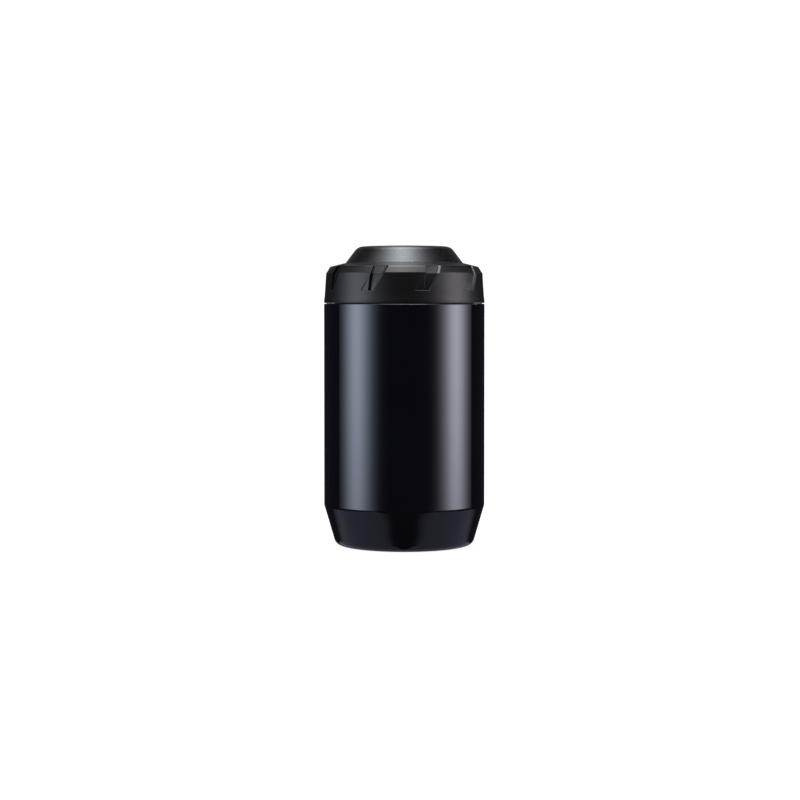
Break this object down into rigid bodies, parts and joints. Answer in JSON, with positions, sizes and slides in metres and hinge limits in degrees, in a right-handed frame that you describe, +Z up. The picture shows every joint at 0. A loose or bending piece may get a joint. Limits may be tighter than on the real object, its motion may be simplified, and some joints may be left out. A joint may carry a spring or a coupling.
{
  "type": "storage canister",
  "caption": "Screw-top storage canister for a bicycle bottle cage: gloss cup with a tapered foot, notched screw cap with a raised disc, padded roll-up tool wrap inside.",
  "frame": {"origin": "middle of the foot, on the surface the canister stands on", "axes": "+Z up along the canister's axis, -Y towards the viewer, +X to the viewer's right"},
  "size_m": [0.074, 0.074, 0.1378],
  "materials": {
    "gloss_shell": "gloss black moulding",
    "satin_cap": "satin black moulding",
    "speckled_disc": "fine speckled satin",
    "seal_rubber": "matt silicone",
    "foam": "closed-cell foam",
    "screw_steel": "zinc plated",
    "wrap_fabric": "knit-faced neoprene",
    "pocket_fabric": "woven nylon",
    "binding_tape": "ribbed binding tape",
    "strap_elastic": "woven elastic"
  },
  "bodies": {
    "canister": {"canister_shell": "gloss_shell", "shoulder_gasket": "seal_rubber", "base_pad": "foam"},
    "liner": {"cap_liner": "foam"},
    "cap": {"cap_shell": "satin_cap", "top_disc": "speckled_disc", "disc_screws": "screw_steel"},
    "tool_wrap": {"wrap_panel": "wrap_fabric", "wrap_bottom_binding": "binding_tape", "wrap_top_binding": "binding_tape", "lever_pocket": "pocket_fabric", "inflator_pocket": "pocket_fabric", "tube_pocket": "pocket_fabric", "multitool_pocket": "pocket_fabric", "wrap_strap": "strap_elastic"}
  },
  "joints": [
    {"name": "cap_rise", "type": "slide", "parent": "canister", "child": "liner", "axis": [0, 0, 1], "range_m": [0, 0.06]},
    {"name": "cap_unscrew", "type": "hinge", "parent": "liner", "child": "cap", "pos_m": [0, 0, 0.1118], "axis": [0, 0, 1], "range_deg": [0, 2400]},
    {"name": "wrap_float", "type": "slide", "parent": "canister", "child": "tool_wrap", "axis": [0, 0, 1], "range_m": [0, 0.008]}
  ],
  "couplings": [
    {"joint": "cap_rise", "follows": "cap_unscrew", "m_per_rad": 0.0014324}
  ]
}
